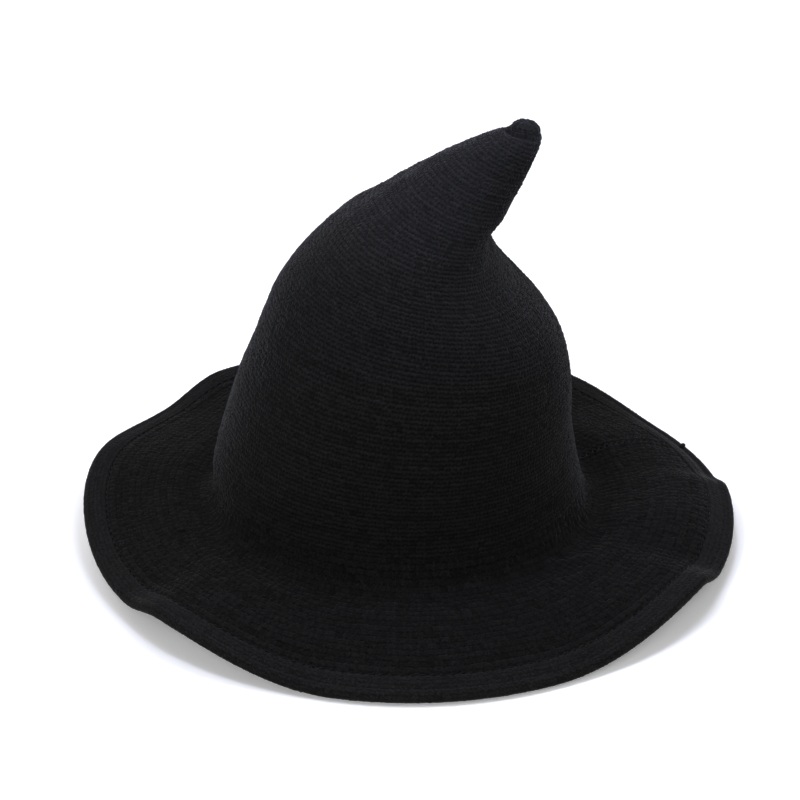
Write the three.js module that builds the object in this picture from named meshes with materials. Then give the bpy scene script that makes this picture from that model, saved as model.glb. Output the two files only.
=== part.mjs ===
// A black knitted witch hat: a soft cone crown whose tip folds over at a crease, and a wide wavy
// brim held open by a steel wire in its rolled hem. It stands on its brim. Millimetres, +Z up,
// the tip leans towards +X, and the origin is under the middle of the brim, on the table.
import * as THREE from "three";

// ---------------------------------------------------------------- driving dimensions

const CLOTH = 3; // thickness of the knitted cloth
const GAP = 0.4; // clearance kept between pieces that touch on the real hat

const EDGE_RADIUS = 178; // outside of the hem, measured level
// The brim edge round the hat: [degrees from +X, height of the hem wire], crests and troughs in turn.
// It stands on the table where the wire is one hem roll radius up.
const EDGE_WAVE = [
  [-187, 24],
  [-146, 11],
  [-136, 17],
  [-102, 3.5],
  [-66, 3.5],
  [-32, 16.5],
  [-23, 9.5],
  [3, 13],
  [13, 4.5],
  [33, 3.5],
  [62, 15],
  [90, 3.5],
  [130, 22],
  [145, 13],
];
const BRIM_ROOT_RADIUS = 105; // where the brim turns up into the crown
const BRIM_ROOT_HEIGHT = 19.5;
const BRIM_ROOT_TILT = 4; // the root is this much higher at -X than the mean, and lower at +X
const BRIM_ROOT_LEAN = 2; // and this much higher at the front
const BRIM_SHIFT = -4; // the crown stands this far off the brim's centre
const BRIM_CURVE = 1.3; // power of the brim's fall from its root to its edge
const BRIM_SHARES = [1, 0.66, 0.33, 0]; // control rings of the brim, from the edge to the root
// Where the brim bulges up between its root and its edge: degrees, width in degrees, and the height
// added at each control ring.
const BRIM_DOMES = [
  { at: -10, width: 14, rise: [0, 8, 5.2, 0] },
  { at: 11, width: 9, rise: [0, 3, 2, 0] },
  { at: 27, width: 15, rise: [0, 5.9, 5.8, 0] },
];

// Control rings of the crown, from the head line to the tip: where a course of the knitting crosses
// the hat's middle plane at -X and at +X, and half its depth in Y.
const CROWN_RINGS = [
  { left: [-105.5, 45.5], right: [92.5, 38], depth: 96 },
  { left: [-95.5, 80], right: [87.5, 66], depth: 94 },
  { left: [-84, 110], right: [86, 94], depth: 88 },
  { left: [-67, 148], right: [77, 122], depth: 77 },
  { left: [-40, 178], right: [49, 156], depth: 58 },
  { left: [-15, 195], right: [52, 174], depth: 44 },
  { left: [3, 207], right: [51, 187], depth: 32 },
  { left: [23, 219], right: [58, 202], depth: 21 },
  { left: [44, 228.2], right: [65, 218], depth: 12.5 },
  { left: [48.5, 228.6], right: [66.5, 226], depth: 7.5 },
];

// Places along the cloth count control rings: 0 is the brim edge.
const HEM_END = 0.5; // the hem's leaves reach in to this ring
const HEAD_LINE = 3.7;
const FOLD = BRIM_SHARES.length + 5; // the tip folds over at this ring
const TIP_END = BRIM_SHARES.length + CROWN_RINGS.length - 1;
const RING_GAP = 0.03; // the clearance between the crown and the tip, in rings
const CREASE_DEPTH = 11; // how far the fold pinches the +X side in
const CREASE_WIDTH = 0.6; // in rings
const CREASE_FOCUS = 3; // power that keeps the pinch on the +X side

const HEM_ROLL = 3.5; // radius of the hem rolled round its wire
const HEM_BORE = 1.9;
const HEM_LEAF = 1.7; // half the thickness of the hem where its two leaves end
const HEM_SLOT = 0.5; // half the slit between the leaves
const WIRE_RADIUS = 0.8;
const WIRE_GAP = 1.5; // between the wire's two ends
const JOINER = { length: 24, outside: 1.4, inside: 1.05 };

const BAND = { from: 3.8, to: 4.6, thickness: 1 }; // sweatband, in rings up the crown
const LABEL = { from: 4.15, to: 4.55, width: 12, thickness: 0.4 }; // width in degrees
const THREAD = 0.5; // radius of the sewing thread
const SEAM = 0.6; // radius of the seam's chain of loops
const SEAM_ANGLE = 24; // the back seam, in degrees from +X
const KNOT = [3, 1.8, 1.4]; // half sizes of the knot at the seam's end
const TUFT = [7.4, 6.6, 3.7]; // half sizes of the drawn-in end of the tip
const TUFT_CENTRE = [58.5, 0, 231.9];

const BRIM_COLUMNS = 80;
const CROWN_COLUMNS = 60;
const TIP_COLUMNS = 40;

// ---------------------------------------------------------------- the hat's outer skin

const radians = THREE.MathUtils.degToRad;

// Height of the hem wire at an angle: a cosine wave between each crest and the next trough.
function wireHeight(degrees) {
  const [first] = EDGE_WAVE[0];
  const turned = THREE.MathUtils.euclideanModulo(degrees - first, 360) + first;
  const marks = [...EDGE_WAVE, [first + 360, EDGE_WAVE[0][1]]];
  const next = marks.findIndex(([angle]) => angle > turned);
  const [[a0, z0], [a1, z1]] = [marks[next - 1], marks[next]];
  const share = (1 - Math.cos((Math.PI * (turned - a0)) / (a1 - a0))) / 2;
  return THREE.MathUtils.lerp(z0, z1, share);
}

function wirePoint(degrees) {
  const u = radians(degrees);
  const radius = EDGE_RADIUS - HEM_ROLL;
  return new THREE.Vector3(radius * Math.cos(u), radius * Math.sin(u), wireHeight(degrees));
}

// Degrees from one angle to another, the short way round.
function turnBetween(from, to) {
  return THREE.MathUtils.euclideanModulo(to - from + 180, 360) - 180;
}

function brimControl(degrees, share, ring) {
  const u = radians(degrees);
  const root = BRIM_ROOT_HEIGHT - BRIM_ROOT_TILT * Math.cos(u) - BRIM_ROOT_LEAN * Math.sin(u);
  const edge = wireHeight(degrees) + CLOTH / 2;
  const radius = THREE.MathUtils.lerp(BRIM_ROOT_RADIUS, EDGE_RADIUS, share);
  let height = THREE.MathUtils.lerp(root, edge, share ** BRIM_CURVE);
  for (const { at, width, rise } of BRIM_DOMES) {
    height += rise[ring] * Math.exp(-((turnBetween(at, degrees) / width) ** 2));
  }
  return new THREE.Vector3(
    radius * Math.cos(u) + BRIM_SHIFT * (1 - share),
    radius * Math.sin(u),
    height,
  );
}

function crownControl(degrees, { left, right, depth }) {
  const u = radians(degrees);
  const across = (1 + Math.cos(u)) / 2;
  return new THREE.Vector3(
    THREE.MathUtils.lerp(left[0], right[0], across),
    depth * Math.sin(u),
    THREE.MathUtils.lerp(left[1], right[1], across),
  );
}

const wales = new Map(); // one curve from the brim edge to the tip for each angle in use

function wale(degrees) {
  if (!wales.has(degrees)) {
    const points = [
      ...BRIM_SHARES.map((share, ring) => brimControl(degrees, share, ring)),
      ...CROWN_RINGS.map((ring) => crownControl(degrees, ring)),
    ];
    wales.set(degrees, new THREE.CatmullRomCurve3(points, false, "catmullrom", 0.5));
  }
  return wales.get(degrees);
}

function skin(degrees, ring) {
  const point = wale(degrees).getPoint(ring / TIP_END);
  const side = ((1 + Math.cos(radians(degrees))) / 2) ** CREASE_FOCUS;
  point.x -= CREASE_DEPTH * side * Math.exp(-(((ring - FOLD) / CREASE_WIDTH) ** 2));
  return point;
}

function skinNormal(degrees, ring) {
  const step = 0.01;
  const low = Math.max(ring - step, 0);
  const high = Math.min(ring + step, TIP_END);
  const along = skin(degrees, high).sub(skin(degrees, low));
  const round = skin(degrees + 1, ring).sub(skin(degrees - 1, ring));
  return round.cross(along).normalize();
}

// A point `lift` outside the skin, or inside it where lift is negative.
function lifted(degrees, ring, lift) {
  return skin(degrees, ring).addScaledVector(skinNormal(degrees, ring), lift);
}

// ---------------------------------------------------------------- closed meshes

function range(count, from, to) {
  return Array.from({ length: count + 1 }, (_, i) => from + ((to - from) * i) / count);
}

function angles(columns) {
  return range(columns, 0, 360).slice(0, -1);
}

function signedVolume(positions, index) {
  const corner = [new THREE.Vector3(), new THREE.Vector3(), new THREE.Vector3()];
  let volume = 0;
  for (let i = 0; i < index.length; i += 3) {
    corner.forEach((v, k) => v.fromArray(positions, 3 * index[i + k]));
    volume += corner[0].dot(corner[1].cross(corner[2])) / 6;
  }
  return volume;
}

// Joins loops of the same number of points, one after the other. Where it is a ring, the last loop
// joins the first; otherwise a fan closes each end.
function loft(loops, isRing) {
  const around = loops[0].length;
  const positions = loops.flat().flatMap((p) => p.toArray());
  const index = [];
  const at = (loop, k) => (loop % loops.length) * around + (k % around);
  for (let i = 0; i < (isRing ? loops.length : loops.length - 1); i++) {
    for (let k = 0; k < around; k++) {
      index.push(at(i, k), at(i, k + 1), at(i + 1, k + 1));
      index.push(at(i, k), at(i + 1, k + 1), at(i + 1, k));
    }
  }
  const closeEnd = (loop, turn) => {
    const centre = positions.length / 3;
    const middle = new THREE.Vector3();
    loops[loop].forEach((p) => middle.add(p));
    positions.push(...middle.divideScalar(around).toArray());
    for (let k = 0; k < around; k++) {
      const pair = turn ? [at(loop, k), at(loop, k + 1)] : [at(loop, k + 1), at(loop, k)];
      index.push(...pair, centre);
    }
  };
  if (!isRing) {
    closeEnd(0, false);
    closeEnd(loops.length - 1, true);
  }
  if (signedVolume(positions, index) < 0) index.reverse();
  const geometry = new THREE.BufferGeometry();
  geometry.setAttribute("position", new THREE.Float32BufferAttribute(positions, 3));
  geometry.setIndex(index);
  geometry.computeVertexNormals();
  return geometry;
}

// ---------------------------------------------------------------- the pieces' shapes

// Knitted cloth between two rings: its outer side one way and its inner side back.
function clothLoops(columns, rings) {
  const loop = (ring, lift) => angles(columns).map((a) => lifted(a, ring, lift));
  return [...rings.map((r) => loop(r, 0)), ...rings.toReversed().map((r) => loop(r, -CLOTH))];
}

function brimKnit() {
  return loft(clothLoops(BRIM_COLUMNS, range(7, HEM_END + 0.03, HEAD_LINE - 0.02)), true);
}

function crownKnit() {
  return loft(clothLoops(CROWN_COLUMNS, range(10, HEAD_LINE + 0.02, FOLD - RING_GAP)), true);
}

// The tip is open only at its fold. Its last course is drawn together, which closes both sides.
function tipKnit() {
  return loft(clothLoops(TIP_COLUMNS, range(8, TIP_END, FOLD + RING_GAP)), false);
}

// One cross-section of the hem: a roll round the wire, and two leaves that take the brim's edge.
function hemSection(degrees) {
  const wire = wirePoint(degrees);
  const out = new THREE.Vector3(Math.cos(radians(degrees)), Math.sin(radians(degrees)), 0);
  const up = new THREE.Vector3(0, 0, 1);
  const leafEnd = lifted(degrees, HEM_END, -CLOTH / 2);
  const normal = skinNormal(degrees, HEM_END);
  const roll = (radius, angle) =>
    wire
      .clone()
      .addScaledVector(out, radius * Math.cos(radians(angle)))
      .addScaledVector(up, radius * Math.sin(radians(angle)));
  const leaf = (height) => leafEnd.clone().addScaledVector(normal, height);
  const flatSided = (radius, step) => radius / Math.cos(radians(step / 2));
  return [
    leaf(-HEM_LEAF),
    ...range(7, -105, 105).map((angle) => roll(flatSided(HEM_ROLL, 30), angle)),
    leaf(HEM_LEAF),
    leaf(HEM_SLOT),
    ...range(4, 120, -120).map((angle) => roll(HEM_BORE, angle)),
    leaf(-HEM_SLOT),
  ];
}

function brimHem() {
  return loft(angles(BRIM_COLUMNS).map(hemSection), true);
}

// A bar of any section along a curve, with both ends closed.
function bar(curve, radius, sides, steps, bore = 0) {
  const outline = (r) => {
    const corners = angles(sides).map((a) => radians(a));
    return corners.map((a) => new THREE.Vector2(r * Math.cos(a), r * Math.sin(a)));
  };
  const shape = new THREE.Shape(outline(radius));
  if (bore) shape.holes.push(new THREE.Path(outline(bore)));
  return new THREE.ExtrudeGeometry(shape, { steps, bevelEnabled: false, extrudePath: curve });
}

function wireCurve(from, to, points) {
  return new THREE.CatmullRomCurve3(range(points, from, to).map(wirePoint));
}

// Half of a length along the hem wire, in degrees round the hat.
function halfAngle(length) {
  return THREE.MathUtils.radToDeg(length / 2 / (EDGE_RADIUS - HEM_ROLL));
}

function brimWire() {
  const half = halfAngle(WIRE_GAP);
  const curve = wireCurve(SEAM_ANGLE + half, SEAM_ANGLE + 360 - half, 160);
  return bar(curve, WIRE_RADIUS, 6, BRIM_COLUMNS);
}

function wireJoiner() {
  const half = halfAngle(JOINER.length);
  const curve = wireCurve(SEAM_ANGLE - half, SEAM_ANGLE + half, 8);
  return bar(curve, JOINER.outside, 8, 4, JOINER.inside);
}

// A strip inside the crown, between two depths under the skin, open at its two ends.
function strip(columns, fromAngle, toAngle, { from, to }, outerDepth, innerDepth) {
  const rings = range(2, from, to);
  const section = (angle) => [
    ...rings.map((ring) => lifted(angle, ring, -outerDepth)),
    ...rings.toReversed().map((ring) => lifted(angle, ring, -innerDepth)),
  ];
  return loft(range(columns, fromAngle, toAngle).map(section), false);
}

const BAND_DEPTH = CLOTH + GAP;
const LABEL_DEPTH = BAND_DEPTH + BAND.thickness + GAP;

// The band's ends butt at the back seam, a millimetre apart.
function sweatband() {
  const columns = CROWN_COLUMNS;
  const inside = BAND_DEPTH + BAND.thickness;
  return strip(columns, SEAM_ANGLE + 0.3, SEAM_ANGLE + 359.7, BAND, BAND_DEPTH, inside);
}

function careLabel() {
  const from = SEAM_ANGLE + 2;
  const inside = LABEL_DEPTH + LABEL.thickness;
  return strip(3, from, from + LABEL.width, LABEL, LABEL_DEPTH, inside);
}

// Thread that runs round the hat at a lift over the skin, zigzagging by `sway` rings.
function threadRing(columns, ring, lift, sway) {
  const section = (angle, i) => {
    const here = ring + (i % 2 ? sway : -sway);
    const middle = lifted(angle, here, lift);
    const normal = skinNormal(angle, here);
    const along = skin(angle, here + 0.01).sub(skin(angle, here - 0.01)).normalize();
    const side = (direction, distance) => middle.clone().addScaledVector(direction, distance);
    return [side(normal, THREAD), side(along, THREAD), side(normal, -THREAD), side(along, -THREAD)];
  };
  return loft(angles(columns).map(section), true);
}

function hemStitching() {
  return threadRing(BRIM_COLUMNS, HEM_END + 0.02, THREAD + GAP, 0);
}

function sweatbandStitching() {
  const depth = BAND_DEPTH + BAND.thickness + GAP + THREAD;
  return threadRing(CROWN_COLUMNS, BAND.from + 0.1, -depth, 0.03);
}

// The back seam's chain of loops, lying on the skin between two rings.
function seam(from, to, steps) {
  const clear = 2 * SEAM + GAP;
  const points = range(2 * steps, from, to).map((ring) => lifted(SEAM_ANGLE, ring, clear));
  return bar(new THREE.CatmullRomCurve3(points), SEAM, 5, steps);
}

function ellipsoid([x, y, z], across, down) {
  return new THREE.SphereGeometry(1, across, down).rotateX(Math.PI / 2).scale(x, y, z);
}

// ---------------------------------------------------------------- the hat

const FINISHES = {
  knit: { color: 0x16161a, roughness: 0.95, metalness: 0 },
  thread: { color: 0x1c1c20, roughness: 0.8, metalness: 0 },
  band: { color: 0x121214, roughness: 0.85, metalness: 0 },
  label: { color: 0xd8d6d0, roughness: 0.7, metalness: 0 },
  steel: { color: 0xa8aaad, roughness: 0.35, metalness: 1 },
  crimp: { color: 0xb9bbbe, roughness: 0.45, metalness: 1 },
};

function piece(name, finish, geometry) {
  const mesh = new THREE.Mesh(geometry, new THREE.MeshStandardMaterial(FINISHES[finish]));
  mesh.name = name;
  return mesh;
}

function brimAssembly() {
  const group = new THREE.Group();
  const knot = piece("seam_end_knot", "thread", ellipsoid(KNOT, 10, 6));
  knot.rotation.z = radians(SEAM_ANGLE);
  knot.position.copy(wirePoint(SEAM_ANGLE));
  knot.position.z += HEM_ROLL + GAP + KNOT[2];
  group.add(
    piece("brim_knit", "knit", brimKnit()),
    piece("brim_hem", "knit", brimHem()),
    piece("hem_stitching", "thread", hemStitching()),
    piece("brim_wire", "steel", brimWire()),
    piece("wire_joiner", "crimp", wireJoiner()),
    piece("seam_brim", "thread", seam(HEM_END + 0.15, HEAD_LINE - 0.05, 18)),
    knot,
  );
  return group;
}

function crownAssembly() {
  const group = new THREE.Group();
  group.add(
    piece("crown_knit", "knit", crownKnit()),
    piece("seam_crown", "thread", seam(HEAD_LINE + 0.05, FOLD - 0.1, 24)),
    piece("sweatband", "band", sweatband()),
    piece("sweatband_stitching", "thread", sweatbandStitching()),
    piece("care_label", "label", careLabel()),
  );
  return group;
}

// Everything past the fold, which turns about the outside of the fold ring.
function tipAssembly() {
  const group = new THREE.Group();
  const tuft = piece("tip_gather", "knit", ellipsoid(TUFT, 12, 8));
  tuft.position.set(...TUFT_CENTRE);
  group.add(
    piece("tip_knit", "knit", tipKnit()),
    piece("seam_tip", "thread", seam(FOLD + 0.1, TIP_END - 0.3, 10)),
    tuft,
  );
  return group;
}

const hat = new THREE.Group();
hat.add(brimAssembly(), crownAssembly(), tipAssembly());

export default hat;
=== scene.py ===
"""A black knitted witch hat, dressed round its CAD frame: crown, brim and tip as real knitting, with a
rolled hem, a back seam, a gathered tip, and a ribbed sweatband inside. Lengths are in millimetres until a
mesh is made, and the frame's are in metres."""

import math

import bpy
import numpy as np
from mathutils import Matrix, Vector


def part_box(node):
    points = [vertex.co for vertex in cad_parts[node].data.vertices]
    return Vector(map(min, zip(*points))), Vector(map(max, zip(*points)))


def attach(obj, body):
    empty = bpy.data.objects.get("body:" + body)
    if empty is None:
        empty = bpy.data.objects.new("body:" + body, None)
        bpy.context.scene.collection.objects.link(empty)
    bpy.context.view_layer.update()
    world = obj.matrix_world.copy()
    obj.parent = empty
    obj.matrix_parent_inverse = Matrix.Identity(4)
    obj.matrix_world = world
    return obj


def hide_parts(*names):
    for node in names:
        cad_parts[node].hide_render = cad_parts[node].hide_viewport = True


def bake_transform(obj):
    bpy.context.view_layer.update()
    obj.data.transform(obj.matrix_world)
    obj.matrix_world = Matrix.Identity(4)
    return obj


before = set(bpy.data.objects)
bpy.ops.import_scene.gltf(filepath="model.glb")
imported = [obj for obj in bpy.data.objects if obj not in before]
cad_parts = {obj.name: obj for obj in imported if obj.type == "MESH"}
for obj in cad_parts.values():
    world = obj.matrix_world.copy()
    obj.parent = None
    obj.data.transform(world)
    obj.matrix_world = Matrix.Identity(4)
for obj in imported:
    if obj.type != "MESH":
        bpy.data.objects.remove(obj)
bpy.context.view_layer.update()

MM = 0.001  # metres in a millimetre
TAU = 2 * math.pi

# ---------------------------------------------------------------- the hat's skin, as the CAD part has it

CLOTH = 3.0  # thickness of the knitted cloth
EDGE_RADIUS = 178.0
HEM_ROLL = 3.5  # radius of the hem rolled round its wire
HEM_END = 0.5  # where the hem's two leaves stop
EDGE_WAVE = [  # degrees from +X, height of the hem wire: crests and troughs in turn
    (-187, 24), (-146, 11), (-136, 17), (-102, 3.5), (-66, 3.5), (-32, 16.5), (-23, 9.5),
    (3, 13), (13, 4.5), (33, 3.5), (62, 15), (90, 3.5), (130, 22), (145, 13),
]  # fmt: skip
BRIM_ROOT_RADIUS, BRIM_ROOT_HEIGHT = 105.0, 19.5
BRIM_ROOT_TILT, BRIM_ROOT_LEAN, BRIM_SHIFT, BRIM_CURVE = 4.0, 2.0, -4.0, 1.3
BRIM_SHARES = (1, 0.66, 0.33, 0)  # control rings of the brim, from the edge to the root
BRIM_DOMES = [  # bulges of the brim: degrees, width in degrees, and the height added at each control ring
    (-10, 14, (0, 8, 5.2, 0)),
    (11, 9, (0, 3, 2, 0)),
    (27, 15, (0, 5.9, 5.8, 0)),
]
CROWN_RINGS = [  # where a course crosses the middle plane at -X and at +X, and half its depth
    ((-105.5, 45.5), (92.5, 38), 96),
    ((-95.5, 80), (87.5, 66), 94),
    ((-84, 110), (86, 94), 88),
    ((-67, 148), (77, 122), 77),
    ((-40, 178), (49, 156), 58),
    ((-15, 195), (52, 174), 44),
    ((3, 207), (51, 187), 32),
    ((23, 219), (58, 202), 21),
    ((44, 228.2), (65, 218), 12.5),
    ((48.5, 228.6), (66.5, 226), 7.5),
]
HEAD_LINE = 3.7  # places along the cloth count control rings, from 0 at the brim's edge
FOLD = 9.0
TIP_END = 13.0
CREASE_DEPTH, CREASE_WIDTH, CREASE_FOCUS = 11.0, 0.6, 3
SEAM_ANGLE = math.radians(24)


def wire_height(u):
    """Height of the hem wire: a cosine wave between each crest and the next trough."""
    angle = np.radians([a for a, _ in EDGE_WAVE] + [EDGE_WAVE[0][0] + 360])
    height = np.array([h for _, h in EDGE_WAVE] + [EDGE_WAVE[0][1]], float)
    turned = (u - angle[0]) % TAU + angle[0]
    k = np.clip(np.searchsorted(angle, turned, side="right") - 1, 0, len(angle) - 2)
    share = (turned - angle[k]) / (angle[k + 1] - angle[k])
    return height[k] + (height[k + 1] - height[k]) * (1 - np.cos(np.pi * share)) / 2


def control_rings(u):
    """The skin's control points at each angle, one ring more at each end to steer the curve."""
    rings = []
    root = BRIM_ROOT_HEIGHT - BRIM_ROOT_TILT * np.cos(u) - BRIM_ROOT_LEAN * np.sin(u)
    edge = wire_height(u) + CLOTH / 2
    for i, share in enumerate(BRIM_SHARES):
        radius = BRIM_ROOT_RADIUS + (EDGE_RADIUS - BRIM_ROOT_RADIUS) * share
        x = radius * np.cos(u) + BRIM_SHIFT * (1 - share)
        height = root + (edge - root) * share**BRIM_CURVE
        for at, width, rise in BRIM_DOMES:
            turn = (np.degrees(u) - at + 180) % 360 - 180
            height = height + rise[i] * np.exp(-((turn / width) ** 2))
        rings.append(np.stack([x, radius * np.sin(u), height], -1))
    across = (1 + np.cos(u)) / 2
    for left, right, depth in CROWN_RINGS:
        x = left[0] + (right[0] - left[0]) * across
        z = left[1] + (right[1] - left[1]) * across
        rings.append(np.stack([x, depth * np.sin(u), z], -1))
    return np.array([2 * rings[0] - rings[1], *rings, 2 * rings[-1] - rings[-2]])


def smooth_skin(t, u):
    """Points of the bare skin. t is one column, for a grid over u, or as long as u, for a line."""
    rings = control_rings(u)
    t = np.clip(t, 0, TIP_END)
    k = np.clip(np.floor(t).astype(int), 0, int(TIP_END) - 1)
    s = (t - k)[..., None]
    p0, p1, p2, p3 = (rings[k + i, np.arange(len(u))] for i in range(4))
    bend = 2 * p0 - 5 * p1 + 4 * p2 - p3
    p = (2 * p1 + (p2 - p0) * s + bend * s**2 + (3 * p1 - p0 - 3 * p2 + p3) * s**3) / 2
    pinch = ((1 + np.cos(u)) / 2) ** CREASE_FOCUS * np.exp(-(((t - FOLD) / CREASE_WIDTH) ** 2))
    p[..., 0] -= CREASE_DEPTH * pinch
    return p


def skin_and_normal(t, u):
    step = 0.01
    p = smooth_skin(t, u)
    round_hat = smooth_skin(t, u + step) - smooth_skin(t, u - step)
    along = smooth_skin(t + step, u) - smooth_skin(t - step, u)
    normal = np.cross(round_hat, along)
    return p, normal / np.linalg.norm(normal, axis=-1, keepdims=True)


# ---------------------------------------------------------------- the knitting's own grid

WALE_PITCH = 4.0  # width of a stitch, everywhere: wales are added or dropped as the girth changes
SECTORS = 26  # lines round the hat where they are
BRIM_COURSE, CROWN_COURSE = 3.75, 2.38  # height of a stitch
SPLIT = 7.6  # the crown's cloth runs up to here, and the tip's cloth above it

table_t = np.linspace(0, TIP_END, 521)
all_round = np.linspace(0, TAU, 180, endpoint=False)
table_points = smooth_skin(table_t[:, None], all_round)
front = np.sin(all_round) <= 0
steps = np.linalg.norm(np.diff(table_points[:, front], axis=0), axis=2).mean(1)
pitch = np.where(table_t[1:] < HEAD_LINE, BRIM_COURSE, CROWN_COURSE)
table_course = np.concatenate([[0], np.cumsum(steps / pitch)])
table_girth = np.linalg.norm(table_points - np.roll(table_points, 1, axis=1), axis=2).sum(1)


def course_at(t):
    return np.interp(t, table_t, table_course)


def place_of(course):
    return np.interp(course, table_course, table_t)


def girth_at(t):
    return np.interp(t, table_t, table_girth)


def wale_at(t, u):
    """Stitch number round the hat. Wales run straight up the middle of a sector and end near its sides."""
    turn = from_seam(u) / TAU
    wander = 0.4 / SECTORS * np.sin(5.3 * np.floor(course_at(t)))
    sector = np.floor((turn + wander) * SECTORS)
    return girth_at(t) / WALE_PITCH * (turn - (sector + 0.5) / SECTORS) + 400 + 17 * sector


def from_seam(u):
    """Angle from the back seam, from -pi to pi."""
    return (u - SEAM_ANGLE + np.pi) % TAU - np.pi


PATCH = 256  # stitches each way before the unevenness repeats
random = np.random.default_rng(31)
MODES = [  # long soft waves of the cloth: turns round the hat, waves per ring, phase
    (int(random.integers(2, 15)), random.uniform(-0.9, 0.9), random.uniform(0, TAU)) for _ in range(14)
]
STITCH_ROUGHNESS = random.normal(0, 1, (PATCH, PATCH))
COURSE_ROUGHNESS = random.normal(0, 1, PATCH)
WAVE_HEIGHT, BRIM_WAVES = 0.045, 1.8  # size of the soft waves, and how much larger they are on the brim
BRIM_FOLD = [(-66, 3.2), (-48, 3.05), (-33, 2.36), (-9, 2.05)]  # a soft crease in the brim: degrees, ring
BRIM_FOLD_HEIGHT, BRIM_FOLD_WIDTH = 0.9, 0.17  # in millimetres and rings
BRIM_FOLD_FADE, CROWN_FOLD_FADE = 14, 12  # degrees over which a fold's ends fade out
CROWN_FOLDS = [  # ring, from and to in degrees, height, width in rings
    (4.9, -95, -46, -0.5, 0.05),
    (5.28, -130, -40, 0.35, 0.07),
    (6.06, -63, -31, -0.45, 0.06),
]


def smooth_window(x, low, high, edge):
    rise = np.clip((x - low) / edge, 0, 1)
    fall = np.clip((high - x) / edge, 0, 1)
    return (rise * rise * (3 - 2 * rise)) * (fall * fall * (3 - 2 * fall))


def soft_waves(t, u):
    """Unevenness of the cloth that has nothing to do with its stitches, in millimetres."""
    wave = sum(np.cos(turns * u + TAU * rate * t + phase) for turns, rate, phase in MODES)
    height = WAVE_HEIGHT * wave * np.where(t < HEAD_LINE, BRIM_WAVES, 1)
    degrees = np.degrees((u + np.pi) % TAU - np.pi)
    angles, rings = zip(*BRIM_FOLD)
    fold = np.exp(-(((t - np.interp(degrees, angles, rings)) / BRIM_FOLD_WIDTH) ** 2))
    height = height + BRIM_FOLD_HEIGHT * fold * smooth_window(degrees, angles[0], angles[-1], BRIM_FOLD_FADE)
    for ring, low, high, size, width in CROWN_FOLDS:
        fold = np.exp(-(((t - ring) / width) ** 2))
        height = height + size * fold * smooth_window(degrees, low, high, CROWN_FOLD_FADE)
    return height


SEAM_PULL, SEAM_PULL_REACH = 1.3, 9  # how many courses the seam pulls its sides by, and how far it reaches
COURSE_SLIP, STITCH_SLIP = 0.13, 0.07  # how far a course and a stitch lie off their place, in stitches
BRIM_SWAY, CROWN_SWAY, STITCH_SWAY = 0.06, 0.12, 0.05  # how far a course leaves its line, in courses
STITCH_UNEVENNESS, COURSE_UNEVENNESS = 0.14, 0.08
COURSE_GROOVE, HALF_WAY_GROOVE = 0.55, 0.6  # the brim has a second groove, half way up each course
WALE_GROOVE, LOOP_GROOVE, BRIM_WALES = 0.06, 0.35, 0.35
FUZZ, FUZZ_SHADE = 0.085, 0.13  # the wool's own roughness, in millimetres and in brightness
BRIM_FUZZ = 0.9  # how much rougher the brim is than the crown
TIP_GROOVE_SHADE_FADE = 0.45  # how much the painted shade in the grooves fades on the way to the tip, lightening it


def stitches(t, u, side):
    """Height of the yarn over the cloth, from 0 between stitches to 1, and each stitch's own shade.
    side 1 is the purl side, with a bar for each stitch, and -1 the plain side, with columns of Vs."""
    distance = np.abs(from_seam(u)) * girth_at(t) / TAU
    course = course_at(t) + SEAM_PULL * np.exp(-distance / SEAM_PULL_REACH)
    wale = wale_at(t, u)
    row = np.floor(course).astype(int) % PATCH
    wale = wale + COURSE_SLIP * COURSE_ROUGHNESS[row - 7]
    column = np.floor(wale).astype(int) % PATCH
    wale = wale + STITCH_SLIP * STITCH_ROUGHNESS[row, column]
    on_brim = t < HEAD_LINE
    sway = np.where(on_brim, BRIM_SWAY, CROWN_SWAY)
    course = course + sway * np.cos(TAU * wale) + STITCH_SWAY * STITCH_ROUGHNESS[column, row // 3]
    uneven = 1 + STITCH_UNEVENNESS * STITCH_ROUGHNESS[row, column]
    uneven = uneven + COURSE_UNEVENNESS * COURSE_ROUGHNESS[row]
    shade = 0.5 + 0.2 * STITCH_ROUGHNESS[column, row]
    if side > 0:
        between_courses = 1 - np.abs(np.sin(np.pi * course)) ** 0.8
        half_way = (1 - np.abs(np.cos(np.pi * course)) ** 0.8) * on_brim
        between_courses = between_courses + HALF_WAY_GROOVE * half_way
        between_loops = (0.5 - 0.5 * np.cos(2 * TAU * wale)) ** 1.3
        between_wales = 0.5 - 0.5 * np.cos(TAU * wale)
        beside = np.where(on_brim, BRIM_WALES * between_wales, between_loops)
        bars = LOOP_GROOVE * beside * between_courses + 0.1 * beside
        height = 1 - COURSE_GROOVE * between_courses - WALE_GROOVE * between_wales - bars
        return height * uneven, shade
    between_wales = (0.5 + 0.5 * np.cos(TAU * wale)) ** 1.5
    slant = np.abs(np.sin(np.pi * (course + 1.2 * np.abs((wale % 1) - 0.5))))
    return (1 - between_wales) * (0.6 + 0.4 * slant) * uneven, shade


def seam_profile(t, u):
    """The back seam: a groove between two raised edges."""
    distance = np.abs(from_seam(u)) * girth_at(t) / TAU
    edges = 0.55 * np.exp(-(((distance - 2.6) / 1.2) ** 2))
    groove = 1.3 * np.exp(-((distance / 1.1) ** 2))
    return edges - groove


TUCK_REACH, TUCK_DEPTH = 0.07, 1.15  # in rings and millimetres


def tuck(t):
    """How far the brim's last course dips, to go in between the hem's two leaves."""
    share = np.clip((HEM_END + TUCK_REACH - t) / TUCK_REACH, 0, 1)
    return TUCK_DEPTH * share * share * (3 - 2 * share)


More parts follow.
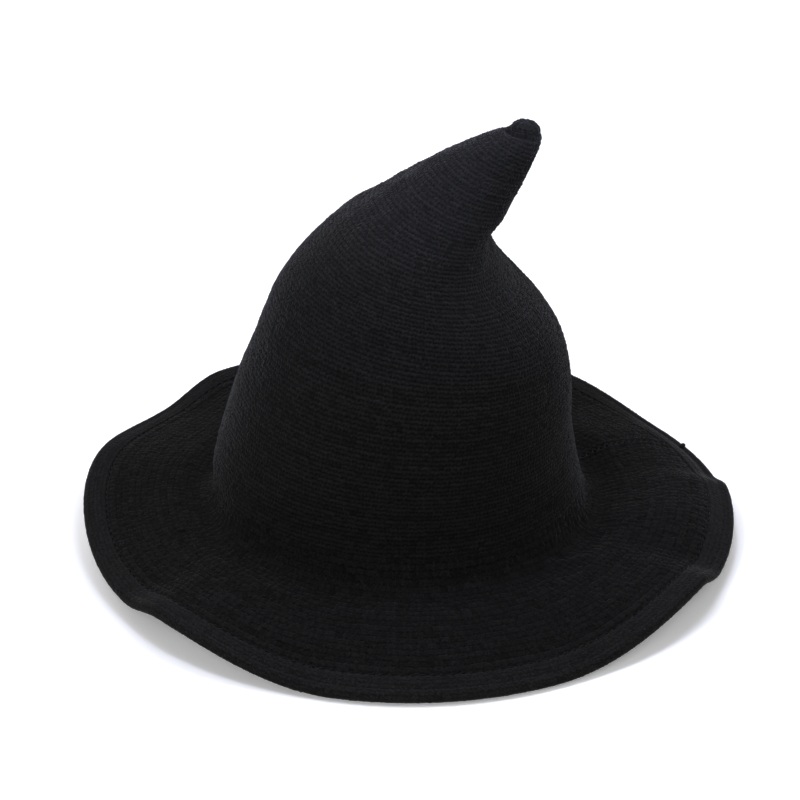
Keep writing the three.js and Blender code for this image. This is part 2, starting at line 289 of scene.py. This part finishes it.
def knitted(t, u, depth, side, size):
    """A grid of the cloth's surface at a depth under the skin, with stitches of a size on its side, and the
    relief and shade that its material reads."""
    point, normal = skin_and_normal(t, u)
    height, shade = stitches(t, u, side)
    lift = soft_waves(t, u) - depth + side * (size * (height - 0.6) - tuck(t))
    if side > 0:
        fuzz = np.random.default_rng(len(t) + len(u)).normal(0, 1, height.shape)
        fuzz = fuzz * (1 + BRIM_FUZZ * np.clip((HEAD_LINE + 0.3 - t) / 0.6, 0, 1))
        lift = lift + seam_profile(t, u) + FUZZ * fuzz
        height = height + FUZZ_SHADE * fuzz
        # painted shade fades toward the tip: the grooves' colour lightens there
        height = height + TIP_GROOVE_SHADE_FADE * np.clip((t - 6) / 5, 0, 1) * (1 - height)
    return [point + lift[..., None] * normal, np.clip(height, 0, 1.3), shade]


# ---------------------------------------------------------------- meshes


def loft(name, loops, relief=None, shade=None, ring=True, caps=(None, None), rims=()):
    """A closed mesh through loops of points. A ring's last loop joins its first; otherwise each end is
    closed with a fan to its cap point. rims are the loops whose edges stay sharp."""
    loops = np.asarray(loops, float)
    rows, around = loops.shape[:2]
    grid = np.arange(rows * around).reshape(rows, around)
    low, high = (grid, np.roll(grid, -1, axis=0)) if ring else (grid[:-1], grid[1:])
    quads = np.stack([low, np.roll(low, -1, axis=1), np.roll(high, -1, axis=1), high], -1).reshape(-1, 4)
    points, faces = loops.reshape(-1, 3), quads.tolist()
    fields = {"relief": relief, "shade": shade}
    fields = {key: np.asarray(value, float).ravel() for key, value in fields.items() if value is not None}
    for cap, row, turned in ((caps[0], grid[0], True), (caps[1], grid[-1], False)):
        if cap is None:
            continue
        tip = len(points)
        points = np.vstack([points, cap])
        pairs = np.stack([row, np.roll(row, -1)], -1)[:, :: -1 if turned else 1]
        faces += [[a, b, tip] for a, b in pairs.tolist()]
        fields = {key: np.append(value, 0.5) for key, value in fields.items()}
    mesh = bpy.data.meshes.new(name)
    mesh.from_pydata(points * MM, [], faces)
    for key, value in fields.items():
        mesh.attributes.new(key, "FLOAT", "POINT").data.foreach_set("value", value.astype(np.float32))
    mesh.shade_smooth()
    if rims:
        on_rim = np.zeros(len(points), int)
        for i, row in enumerate(rims):
            on_rim[grid[row]] = i + 1
        ends = np.empty(2 * len(mesh.edges), np.int32)
        mesh.edges.foreach_get("vertices", ends)
        first, second = on_rim[ends.reshape(-1, 2)].T
        sharp = mesh.attributes.new("sharp_edge", "BOOLEAN", "EDGE")
        sharp.data.foreach_set("value", (first > 0) & (first == second))
    mesh.update()
    made = bpy.data.objects.new(name, mesh)
    bpy.context.scene.collection.objects.link(made)
    return made


def turned_outward(piece):
    """Flips a closed mesh whose faces point in."""
    mesh = piece.data
    points = np.empty(3 * len(mesh.vertices), np.float32)
    mesh.vertices.foreach_get("co", points)
    mesh.calc_loop_triangles()
    corners = np.empty(3 * len(mesh.loop_triangles), np.int32)
    mesh.loop_triangles.foreach_get("vertices", corners)
    a, b, c = points.reshape(-1, 3)[corners.reshape(-1, 3)].astype(float).transpose(1, 0, 2)
    if np.einsum("ij,ij->i", a, np.cross(b, c)).sum() < 0:
        mesh.flip_normals()
    return piece


def yarn(name, path, normals, radius, sides=8, closed=False, flat=1.0):
    """A round or flattened thread along a path, whose flat side lies on the normals."""
    path = np.asarray(path, float)
    if closed:
        along = np.roll(path, -1, axis=0) - np.roll(path, 1, axis=0)
    else:
        along = np.gradient(path, axis=0)
    along /= np.linalg.norm(along, axis=1, keepdims=True)
    up = normals - np.sum(normals * along, axis=1, keepdims=True) * along
    up /= np.linalg.norm(up, axis=1, keepdims=True)
    across = np.cross(along, up)
    turn = np.linspace(0, TAU, sides, endpoint=False)
    ring = np.cos(turn)[None, :, None] * across[:, None] + flat * np.sin(turn)[None, :, None] * up[:, None]
    loops = path[:, None] + radius * ring
    bulge = 0.6 * radius
    caps = (None, None) if closed else (path[0] - bulge * along[0], path[-1] + bulge * along[-1])
    return turned_outward(loft(name, loops, ring=closed, caps=caps))


# ---------------------------------------------------------------- materials


def value_range(tree, source, low, high, to_low, to_high):
    node = tree.nodes.new("ShaderNodeMapRange")
    for socket, number in zip(("From Min", "From Max", "To Min", "To Max"), (low, high, to_low, to_high)):
        node.inputs[socket].default_value = number
    tree.links.new(source, node.inputs["Value"])
    return node.outputs["Result"]


def noise(tree, scale, detail, roughness=0.6, stretch=None):
    """Noise in the object's own space, with its features 1 / scale metres apart."""
    node = tree.nodes.new("ShaderNodeTexNoise")
    node.inputs["Scale"].default_value = scale
    node.inputs["Detail"].default_value = detail
    node.inputs["Roughness"].default_value = roughness
    place = tree.nodes.new("ShaderNodeTexCoord").outputs["Object"]
    if stretch:
        mapping = tree.nodes.new("ShaderNodeMapping")
        mapping.inputs["Scale"].default_value = stretch
        tree.links.new(place, mapping.inputs["Vector"])
        place = mapping.outputs["Vector"]
    tree.links.new(place, node.inputs["Vector"])
    return node.outputs["Fac"]


def multiplied(tree, *sources):
    result = sources[0]
    for source in sources[1:]:
        node = tree.nodes.new("ShaderNodeMath")
        node.operation = "MULTIPLY"
        tree.links.new(result, node.inputs[0])
        tree.links.new(source, node.inputs[1])
        result = node.outputs[0]
    return result


def tinted(tree, brightness, colour):
    """A colour whose brightness a value scales."""
    node = tree.nodes.new("ShaderNodeVectorMath")
    node.operation = "SCALE"
    node.inputs[0].default_value = colour
    tree.links.new(brightness, node.inputs["Scale"])
    return node.outputs["Vector"]


def bumped(tree, height, distance, strength, below=None):
    node = tree.nodes.new("ShaderNodeBump")
    node.inputs["Distance"].default_value = distance
    node.inputs["Strength"].default_value = strength
    tree.links.new(height, node.inputs["Height"])
    if below:
        tree.links.new(below, node.inputs["Normal"])
    return node.outputs["Normal"]


def new_material(name, roughness, specular, metallic=0.0, sheen=None):
    material = bpy.data.materials.new(name)
    material.use_nodes = True
    shader = material.node_tree.nodes["Principled BSDF"]
    shader.inputs["Roughness"].default_value = roughness
    shader.inputs["Specular IOR Level"].default_value = specular
    shader.inputs["Metallic"].default_value = metallic
    if sheen:
        weight, spread, tint = sheen
        shader.inputs["Sheen Weight"].default_value = weight
        shader.inputs["Sheen Roughness"].default_value = spread
        shader.inputs["Sheen Tint"].default_value = tint
    return material, material.node_tree, shader


WOOL_BLACK = (0.0092, 0.0091, 0.0091)
WOOL_SHEEN = (0.2, 0.22, (0.97, 0.97, 1.0, 1))


def wool(name, colour, groove, sheen=WOOL_SHEEN):
    """Dull black wool. The yarn darkens into its grooves with painted shade, read from the relief, each
    stitch has its own shade, and its fibres roughen it."""
    material, tree, shader = new_material(name, roughness=0.93, specular=0.16, sheen=sheen)
    relief = tree.nodes.new("ShaderNodeAttribute")
    relief.attribute_name = "relief"
    shade = tree.nodes.new("ShaderNodeAttribute")
    shade.attribute_name = "shade"
    brightness = multiplied(
        tree,
        # painted shade: the colour falls to groove where the relief is low, in the grooves between stitches
        value_range(tree, relief.outputs["Fac"], 0.2, 1, groove, 1.2),
        value_range(tree, shade.outputs["Fac"], 0, 1, 0.84, 1.16),
        value_range(tree, noise(tree, 1000, 3), 0.3, 0.7, 0.5, 1.5),
        value_range(tree, noise(tree, 32, 2), 0.3, 0.7, 0.93, 1.07),
    )
    tree.links.new(tinted(tree, brightness, colour), shader.inputs["Base Color"])
    strands = bumped(tree, noise(tree, 2600, 2, 0.7), 0.0005, 0.4)
    fibres = bumped(tree, noise(tree, 900, 3, 0.6), 0.0006, 0.35, strands)
    tree.links.new(fibres, shader.inputs["Normal"])
    return material


def thread_material(name, colour):
    """Sewing thread: tighter and a little shinier than the wool."""
    material, tree, shader = new_material(name, 0.85, 0.2, sheen=(0.04, 0.4, (0.9, 0.93, 1, 1)))
    brightness = value_range(tree, noise(tree, 1800, 3), 0.3, 0.7, 0.7, 1.3)
    tree.links.new(tinted(tree, brightness, colour), shader.inputs["Base Color"])
    twist = bumped(tree, noise(tree, 2200, 2), 0.0003, 0.6)
    tree.links.new(twist, shader.inputs["Normal"])
    return material


def metal_material(name, colour, roughness):
    """Drawn steel, with fine scratches along it and dull patches."""
    material, tree, shader = new_material(name, roughness, 0.5, metallic=1.0)
    brightness = value_range(tree, noise(tree, 700, 4), 0.3, 0.7, 0.82, 1.08)
    tree.links.new(tinted(tree, brightness, colour), shader.inputs["Base Color"])
    dull = value_range(tree, noise(tree, 160, 3), 0.3, 0.7, roughness - 0.08, roughness + 0.14)
    tree.links.new(dull, shader.inputs["Roughness"])
    scratches = bumped(tree, noise(tree, 4000, 2), 0.0001, 0.3)
    tree.links.new(scratches, shader.inputs["Normal"])
    return material


def ribbon_material(name, colour):
    """Grosgrain ribbon: close weft ribs and a soft satin light."""
    material, tree, shader = new_material(name, 0.62, 0.35, sheen=(0.06, 0.35, (0.9, 0.92, 1, 1)))
    brightness = multiplied(
        tree,
        value_range(tree, noise(tree, 1500, 2), 0.3, 0.7, 0.8, 1.2),
        value_range(tree, noise(tree, 40, 2), 0.3, 0.7, 0.9, 1.1),
    )
    tree.links.new(tinted(tree, brightness, colour), shader.inputs["Base Color"])
    weave = bumped(tree, noise(tree, 3000, 2), 0.0002, 0.5)
    tree.links.new(weave, shader.inputs["Normal"])
    return material


# the knitting's grooves go black with painted shade
KNIT = wool("knit_wool", WOOL_BLACK, groove=0.0)
# painted light: the hem is the same wool 1.6 times lighter, as the lamps light its rolled edge more; its
# grooves darken only to half with painted shade
HEM = wool("hem_wool_painted_lighter", tuple(1.6 * c for c in WOOL_BLACK), groove=0.5)
THREAD = thread_material("black_thread", (0.0105, 0.0105, 0.0112))
RIBBON = ribbon_material("grosgrain", (0.012, 0.012, 0.014))
LABEL = ribbon_material("satin_label", (0.62, 0.6, 0.55))
WIRE = metal_material("spring_steel", (0.5, 0.5, 0.51), 0.34)
CRIMP = metal_material("crimped_sleeve", (0.62, 0.61, 0.6), 0.42)


def dress(piece, material):
    piece.data.materials.clear()
    piece.data.materials.append(material)
    return piece


# ---------------------------------------------------------------- the cloth's three pieces

BRIM_COLUMNS, CROWN_COLUMNS, TIP_COLUMNS = 1800, 1240, 720
brim_columns, crown_columns, tip_columns = (
    SEAM_ANGLE + np.linspace(0, TAU, count, endpoint=False)
    for count in (BRIM_COLUMNS, CROWN_COLUMNS, TIP_COLUMNS)
)
BRIM_ROWS, BRIM_INNER_ROWS = 7, 2  # the mesh's rows in each course, outside and inside
CROWN_ROWS, CROWN_INNER_ROWS = 4, 1
BRIM_BARS, CROWN_BARS = 1.25, 0.8  # height of the purl bars outside
BRIM_COLUMN_RISE, CROWN_COLUMN_RISE = 0.5, 0.3  # height of the columns of Vs inside


def rows_between(low, high, per_course):
    """Places of the mesh's rows between two rings, a whole number to each course."""
    first, last = course_at(low), course_at(high)
    count = max(2, round((last - first) * per_course))
    return place_of(np.linspace(first, last, count + 1))[:, None]


def cloth(name, low, high, columns, rows, heights):
    """A closed shell of knitting between two rings. rows and heights are for the outside and the inside."""
    outer = knitted(rows_between(low, high, rows[0]), columns, 0, 1, heights[0])
    inner = knitted(rows_between(low, high, rows[1])[::-1], columns, CLOTH, -1, heights[1])
    loops, relief, shade = (np.concatenate(pair) for pair in zip(outer, inner))
    last_outer = len(outer[0]) - 1
    rims = (0, last_outer, last_outer + 1, len(loops) - 1)
    return turned_outward(loft(name, loops, relief, shade, rims=rims))


def brim_cloth():
    rows, heights = (BRIM_ROWS, BRIM_INNER_ROWS), (BRIM_BARS, BRIM_COLUMN_RISE)
    piece = cloth("brim_cloth", HEM_END - 0.05, HEAD_LINE, brim_columns, rows, heights)
    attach(piece, "crown")
    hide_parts("brim_knit")
    return dress(piece, KNIT)


def crown_cloth():
    rows, heights = (CROWN_ROWS, CROWN_INNER_ROWS), (CROWN_BARS, CROWN_COLUMN_RISE)
    piece = cloth("crown_cloth", HEAD_LINE, SPLIT, crown_columns, rows, heights)
    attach(piece, "crown")
    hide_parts("crown_knit")
    return dress(piece, KNIT)


def ring_frame(ring):
    """A crown ring's middle, its direction across from -X to +X, and half its width."""
    (left_x, left_z), (right_x, right_z), _ = ring
    across = np.array([right_x - left_x, 0, right_z - left_z], float)
    width = np.linalg.norm(across)
    return np.array([(left_x + right_x) / 2, 0, (left_z + right_z) / 2]), across / width, width / 2


def bend_over_fold(piece):
    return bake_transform(piece)


end_centre, end_across, _ = ring_frame(CROWN_RINGS[-1])
end_side = np.array([0, 1.0, 0])
end_out = np.cross(end_across, end_side)
POCKET = 0.8  # how far short of the end the cloth's inside stops, in rings
SHOULDER = ((0.97, 0.6), (0.93, 1.3), (0.88, 1.9), (0.83, 2.1), (0.76, 0.5))  # part of the radius, rise


def tip_cloth():
    """The cloth past the split, whose last course turns in to a pocket for the gathered end."""
    outer = knitted(rows_between(SPLIT, TIP_END, CROWN_ROWS), tip_columns, 0, 1, CROWN_BARS)
    inner_places = rows_between(SPLIT, TIP_END - POCKET, CROWN_INNER_ROWS)
    inner = knitted(inner_places, tip_columns, CLOTH, -1, CROWN_COLUMN_RISE)
    last = outer[0][-1]
    for share, rise in SHOULDER:
        ring = end_centre + (last - end_centre) * share + rise * end_out
        outer[0] = np.concatenate([outer[0], ring[None]])
        outer[1], outer[2] = (np.concatenate([field, field[-1:]]) for field in outer[1:])
    loops, relief, shade = (np.concatenate([a[::-1], b]) for a, b in zip(outer, inner))
    caps = (end_centre + SHOULDER[-1][1] * end_out, inner[0][-1].mean(0))
    rim = len(outer[0]) - 1
    piece = loft("tip_cloth", loops, relief, shade, ring=False, caps=caps, rims=(rim, rim + 1))
    turned_outward(piece)
    bend_over_fold(piece)
    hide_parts("tip_knit")
    return dress(piece, KNIT)


# ---------------------------------------------------------------- the tip's gathered end

GATHER_PROFILE = [  # height over the last ring and radius, from its hidden foot to the middle of its top
    (-1.0, 6.7), (0.9, 7.1), (2.8, 7.0), (4.3, 6.4), (5.5, 5.4), (6.4, 4.1), (6.9, 2.7), (7.1, 1),
]  # fmt: skip
GATHER_SHIFT = 0.9
GATHER_DEPTH = 0.9  # half its size in Y against half its size across
PLEATS = 9


def gathered_end():
    """The last courses drawn together: a blunt end with pleats that run to a dimple in its top."""
    profile = np.array(GATHER_PROFILE)
    reach = np.concatenate([[0], np.cumsum(np.linalg.norm(np.diff(profile, axis=0), axis=1))])
    place = np.linspace(0, reach[-1], 42)
    rise, radius = (np.interp(place, reach, profile[:, i])[:, None] for i in (0, 1))
    turn = np.linspace(0, TAU, 144, endpoint=False)
    deepening = np.clip(place[:, None] / reach[-1], 0, 1) ** 0.7
    pleats = np.cos(PLEATS * turn + 0.8 * np.sin(2 * turn)) * deepening
    course, wale = place[:, None] / CROWN_COURSE, 1.5 * PLEATS * turn / TAU
    between_courses = 1 - np.abs(np.sin(np.pi * course)) ** 0.8
    between_wales = (0.5 + 0.5 * np.cos(TAU * wale)) ** 1.5
    relief = 1.15 - 0.3 * between_courses - 0.25 * between_wales
    relief = relief + 0.3 * np.random.default_rng(9).normal(0, 1, relief.shape)
    radius = radius * (1 + 0.03 * np.cos(2 * turn + 0.6) + 0.05 * pleats) + 0.6 * (relief - 0.6)
    rise = rise + 0.25 * pleats
    loops = (
        end_centre
        + GATHER_SHIFT * end_across
        + (radius * np.cos(turn))[..., None] * end_across
        + GATHER_DEPTH * (radius * np.sin(turn))[..., None] * end_side
        + rise[..., None] * end_out
    )
    caps = (loops[0].mean(0), loops[-1].mean(0))
    # painted shade: the shade attribute is darker in the pleats' folds and lighter on their crests
    piece = loft("gathered_end", loops, relief, 0.5 + 0.1 * pleats, ring=False, caps=caps)
    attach(turned_outward(piece), "tip")
    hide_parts("tip_gather")
    return dress(piece, KNIT)


# ---------------------------------------------------------------- the hem

HEM_BORE, HEM_LEAF, HEM_SLOT = 1.9, 1.7, 0.5
HEM_FLATNESS = 0.8  # how high the roll's upper half is, against its lower half
HEM_COURSE, HEM_STITCH = 2.4, 5.0


def wire_line(u):
    radius = EDGE_RADIUS - HEM_ROLL
    return np.stack([radius * np.cos(u), radius * np.sin(u), wire_height(u)], -1)


def hem_outline(u, roll_radius, leaf, angles):
    """One side of the hem's section: a leaf on top of the brim, round the wire, and back beneath."""
    centre = wire_line(u)
    out = np.stack([np.cos(u), np.sin(u), 0 * u], -1)
    up = np.array([0, 0, 1.0])
    skin, normal = skin_and_normal(np.full(len(u), HEM_END), u)
    end = skin - normal * CLOTH / 2
    roll = [
        centre + roll_radius * (np.cos(a) * out + np.sin(a) * (HEM_FLATNESS if a > 0 else 1) * up)
        for a in np.radians(angles)
    ]
    top, bottom = end + leaf * normal, end - leaf * normal
    between = 0.5 * top + 0.5 * roll[0] + 0.3 * up
    return [top, between, *roll, 0.5 * bottom + 0.5 * roll[-1], bottom]


def resampled(points, count):
    """A smooth line through points at even steps along it."""
    points = np.array(points)
    length = np.cumsum(np.linalg.norm(np.diff(points, axis=0), axis=2).mean(1))
    place = np.concatenate([[0], length])
    wanted = np.linspace(0, place[-1], count)
    k = np.clip(np.searchsorted(place, wanted, side="right") - 1, 0, len(place) - 2)
    slope = np.gradient(points, place, axis=0)
    span = (place[k + 1] - place[k])[:, None, None]
    s = ((wanted - place[k]) / (place[k + 1] - place[k]))[:, None, None]
    p, q = points[k], points[k + 1]
    a, b = slope[k] * span, slope[k + 1] * span
    return p + a * s + (3 * (q - p) - 2 * a - b) * s**2 + (2 * (p - q) + a + b) * s**3, wanted


def rolled_hem():
    """Two leaves sewn over the brim's last course, rolled round the wire, with flatter stitches."""
    u = brim_columns
    outline = hem_outline(u, HEM_ROLL, HEM_LEAF, range(105, -106, -15))
    loops, place = resampled(outline, 72)
    across = np.roll(loops, -1, axis=1) - np.roll(loops, 1, axis=1)
    normal = np.cross(across, np.gradient(loops, axis=0))
    normal /= np.linalg.norm(normal, axis=2, keepdims=True)
    out = np.stack([np.cos(u), np.sin(u), 0 * u], -1)
    if np.sum(normal[len(normal) // 2] * out) < 0:
        normal = -normal
    wale = wale_at(0, u)
    course = place[:, None] / HEM_COURSE + 0.08 * np.cos(TAU * wale)
    cell = np.floor(course).astype(int) % PATCH, np.floor(wale).astype(int)[None] % PATCH
    uneven = 1 + 0.2 * STITCH_ROUGHNESS[cell]
    gap = 0.65 + 0.35 * np.abs(np.sin(np.pi * wale)) ** 0.6
    relief = np.clip(np.abs(np.sin(np.pi * course)) ** 0.7 * gap * uneven, 0, 1)
    fuzz = np.random.default_rng(5).normal(0, 1, relief.shape)
    loops = loops + (0.1 * (relief - 1) + 1.5 * FUZZ * fuzz)[..., None] * normal
    relief = relief + 0.5 * fuzz
    bore = hem_outline(u, HEM_BORE, HEM_SLOT, range(120, -121, -30))
    inside = np.array([bore[0], *bore[2:-2], bore[-1]])[::-1]
    loops = np.concatenate([loops, inside])
    relief = np.concatenate([relief, np.full(inside.shape[:2], 0.5)])
    shade = np.full(relief.shape, 0.5) + 0.12 * np.resize(COURSE_ROUGHNESS, relief.shape)
    piece = turned_outward(loft("rolled_hem", loops, relief, shade))
    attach(piece, "crown")
    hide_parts("brim_hem")
    return dress(piece, HEM)


def hem_thread():
    """The thread that closes the hem: a slanted stitch to each wale, sunk between hem and brim."""
    per_stitch = 10
    count = round(girth_at(HEM_END) / HEM_STITCH)
    u = SEAM_ANGLE + np.linspace(0, TAU, count * per_stitch, endpoint=False)
    wave = count * from_seam(u)
    ring = HEM_END + 0.035 + 0.02 * np.sin(wave)
    point, normal = skin_and_normal(ring, u)
    lift = -0.5 + 0.25 * np.cos(wave + 0.8)
    piece = yarn("hem_thread", point + lift[:, None] * normal, normal, 0.45, closed=True)
    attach(piece, "crown")
    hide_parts("hem_stitching")
    return dress(piece, THREAD)


# ---------------------------------------------------------------- the back seam


def seam_loops(name, low, high, sway):
    """A chain that swings from one edge of the cloth to the other, once to each course."""
    per_course = 12
    t = rows_between(low, high, per_course)[:, 0]
    phase = TAU * np.arange(len(t)) / per_course
    radius = girth_at(t) / TAU
    u = SEAM_ANGLE + sway * np.sin(phase) / radius
    point, normal = skin_and_normal(t, u)
    lift = -0.5 + 0.55 * np.abs(np.sin(phase)) + soft_waves(t, u)
    return yarn(name, point + lift[:, None] * normal, normal, 0.6, sides=10)


def back_seam():
    spans = (
        ("brim_seam", "seam_brim", HEM_END + 0.03, HEAD_LINE),
        ("crown_seam", "seam_crown", HEAD_LINE, SPLIT),
        ("tip_seam", "seam_tip", SPLIT, TIP_END - 0.25),
    )
    for name, node, low, high in spans:
        piece = seam_loops(name, low, high, 1.3)
        if node == "seam_tip":
            bend_over_fold(piece)
        else:
            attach(piece, "crown")
        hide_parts(node)
        dress(piece, THREAD)


KNOT_YARN = 1.0  # radius of the yarn it is tied in
KNOT_SINK = 1.9  # how far it lies under its CAD solid's middle, on the hem
KNOT_REACH, KNOT_TAPER = 1.1, 0.4  # radius of its turns, and how much that falls


def seam_knot():
    """The knot that ties off the seam: a turn and a half of yarn over itself."""
    low, high = (np.array(corner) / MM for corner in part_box("seam_end_knot"))
    centre, half = (low + high) / 2, (high - low) / 2
    turn = np.linspace(0, 2 * TAU, 96)
    out = np.array([math.cos(SEAM_ANGLE), math.sin(SEAM_ANGLE), 0])
    side = np.array([-out[1], out[0], 0])
    up = np.array([0, 0, 1.0])
    centre[2] -= KNOT_SINK
    reach = KNOT_REACH - KNOT_TAPER * turn / (2 * TAU)
    path = (
        centre
        + (reach * np.cos(turn))[:, None] * out
        + (KNOT_REACH * np.sin(turn) * np.cos(turn / 4))[:, None] * side
        + (0.35 * np.sin(2 * turn + 0.6) * half[2] / 1.4)[:, None] * up
    )
    piece = yarn("seam_knot", path, np.tile(up, (len(path), 1)), KNOT_YARN, sides=10)
    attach(piece, "crown")
    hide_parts("seam_end_knot")
    return dress(piece, THREAD)


# ---------------------------------------------------------------- inside the crown

BAND_LOW, BAND_HIGH, BAND_THICKNESS, BAND_DEPTH = 3.8, 4.6, 1.0, 3.4
BAND_GAP = math.radians(0.3)  # from the back seam to each end of the band
RIB_PITCH = 1.5
LABEL_LOW, LABEL_HIGH, LABEL_START, LABEL_WIDTH = 4.15, 4.55, 2, 12  # in rings, and in degrees
LABEL_THICKNESS, LABEL_GAP = 0.4, 0.4


def ribbon(name, from_angle, to_angle, columns, low, high, depth, thickness, rib, rib_size):
    """A strip inside the crown with cross ribs and bound edges, open at its two ends."""
    u = np.linspace(from_angle, to_angle, columns)
    place = np.linspace(low, high, 15)
    edge = np.abs(np.linspace(-1, 1, len(place))) ** 6
    loops = []
    for t, bound in [*zip(place, edge), *zip(place[::-1], edge)]:
        outside = len(loops) < len(place)
        ribs = rib_size * np.cos(TAU * np.arange(columns) / rib) * (1 - bound)
        lift = -(depth if outside else depth + thickness) + (ribs if outside else -ribs)
        lift = lift + (0.12 if outside else -0.12) * bound
        point, normal = skin_and_normal(np.full(columns, t), u)
        loops.append(point + (lift + soft_waves(t, u))[:, None] * normal)
    section = np.array(loops).transpose(1, 0, 2)
    caps = (section[0].mean(0), section[-1].mean(0))
    return turned_outward(loft(name, section, ring=False, caps=caps, rims=(0, len(section) - 1)))


def sweatband():
    per_rib = 4
    columns = round(girth_at(BAND_LOW) / RIB_PITCH) * per_rib + 1
    turn = (SEAM_ANGLE + BAND_GAP, SEAM_ANGLE + TAU - BAND_GAP)
    piece = ribbon(
        "ribbed_band", *turn, columns, BAND_LOW, BAND_HIGH, BAND_DEPTH, BAND_THICKNESS, per_rib, 0.13
    )
    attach(piece, "crown")
    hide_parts("sweatband")
    return dress(piece, RIBBON)


def sweatband_thread():
    """A zigzag of sewing thread along the band's lower edge."""
    stitches_round = 150
    per_stitch = 10
    u = SEAM_ANGLE + np.linspace(0, TAU, stitches_round * per_stitch, endpoint=False)
    wave = stitches_round * from_seam(u)
    ring = BAND_LOW + 0.1 + 0.03 * np.arcsin(np.sin(wave)) * 2 / np.pi
    point, normal = skin_and_normal(ring, u)
    lift = soft_waves(ring, u) - (BAND_DEPTH + BAND_THICKNESS + 0.1) - 0.45 * np.abs(np.cos(wave)) ** 0.5
    piece = yarn("band_thread", point + lift[:, None] * normal, normal, 0.32, closed=True)
    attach(piece, "crown")
    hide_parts("sweatband_stitching")
    return dress(piece, THREAD)


def care_label():
    start = SEAM_ANGLE + math.radians(LABEL_START)
    turn = (start, start + math.radians(LABEL_WIDTH))
    depth = BAND_DEPTH + BAND_THICKNESS + LABEL_GAP
    piece = ribbon("blank_label", *turn, 61, LABEL_LOW, LABEL_HIGH, depth, LABEL_THICKNESS, 5, 0.04)
    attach(piece, "crown")
    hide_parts("care_label")
    return dress(piece, LABEL)


# ---------------------------------------------------------------- stage


COOL, COLD = (0.93, 0.93, 1.0), (0.74, 0.78, 1.0)
TIP_PLACE = (0.03, 0, 0.2)  # what the two small lights aim at


def camera():
    """Level with the photograph's view: a little above the hat, looking along +Y."""
    target = Vector((-0.005, 0, 0.0745))
    distance, elevation = 1.2, math.radians(27.5)
    back = Vector((0, -math.cos(elevation), math.sin(elevation)))
    data = bpy.data.cameras.new("camera")
    data.lens, data.sensor_width = 100, 36
    made = bpy.data.objects.new("camera", data)
    made.location = target + distance * back
    made.rotation_euler = (-back).to_track_quat("-Z", "Y").to_euler()
    bpy.context.scene.collection.objects.link(made)
    bpy.context.scene.camera = made


def floor():
    size = 12.0
    mesh = bpy.data.meshes.new("floor")
    corners = [(-size, -size, 0), (size, -size, 0), (size, size, 0), (-size, size, 0)]
    mesh.from_pydata(corners, [], [(0, 1, 2, 3)])
    made = bpy.data.objects.new("floor", mesh)
    bpy.context.scene.collection.objects.link(made)
    material, tree, shader = new_material("white_paper", 0.9, 0.1)
    brightness = value_range(tree, noise(tree, 6, 2), 0.3, 0.7, 0.97, 1.0)
    tree.links.new(tinted(tree, brightness, (0.96, 0.96, 0.96)), shader.inputs["Base Color"])
    shader.inputs["Emission Color"].default_value = (1, 1, 1, 1)
    shader.inputs["Emission Strength"].default_value = 0.22
    mesh.materials.append(material)


def sun(name, azimuth, elevation, strength, spread, colour=(1, 1, 1)):
    """A wide soft light, as far off as the sun, that shines from a direction in degrees."""
    data = bpy.data.lights.new(name, "SUN")
    data.energy, data.angle, data.color = strength, math.radians(spread), colour
    made = bpy.data.objects.new(name, data)
    turn, rise = math.radians(azimuth), math.radians(elevation)
    direction = (math.cos(turn) * math.cos(rise), math.sin(turn) * math.cos(rise), math.sin(rise))
    made.rotation_euler = Vector(direction).to_track_quat("Z", "Y").to_euler()
    bpy.context.scene.collection.objects.link(made)


def softbox(name, place, aim, size, power, colour=(1, 1, 1)):
    """A square light at a place, turned to what it lights."""
    data = bpy.data.lights.new(name, "AREA")
    data.energy, data.size, data.color = power, size, colour
    made = bpy.data.objects.new(name, data)
    made.location = place
    made.rotation_euler = (Vector(place) - Vector(aim)).to_track_quat("Z", "Y").to_euler()
    made.visible_camera = False
    bpy.context.scene.collection.objects.link(made)


def lights():
    world = bpy.data.worlds.new("studio")
    bpy.context.scene.world = world
    world.use_nodes = True
    world.node_tree.nodes["Background"].inputs["Color"].default_value = (1, 1, 1, 1)
    world.node_tree.nodes["Background"].inputs["Strength"].default_value = 1.0
    world.cycles_visibility.diffuse = False
    softbox("tip_left", (-0.06, -0.12, 0.34), TIP_PLACE, 0.1, 0.5, COLD)
    softbox("tip_right", (0.1, -0.02, 0.32), TIP_PLACE, 0.1, 0.36, COLD)
    sun("back", 105, 52, 1.6, 55, COOL)
    sun("right", 0, 40, 0.88, 55)
    sun("left", 175, 40, 0.66, 50)
    sun("front", 248, 10, 2.45, 80)
    view = bpy.context.scene.view_settings
    view.view_transform = "Standard"
    view.gamma = 0.8  # a camera's toe: darks a little darker, and white still white


camera()
floor()
lights()
brim_cloth()
crown_cloth()
tip_cloth()
gathered_end()
rolled_hem()
hem_thread()
back_seam()
seam_knot()
sweatband()
sweatband_thread()
care_label()
dress(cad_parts["brim_wire"], WIRE)
dress(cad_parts["wire_joiner"], CRIMP)
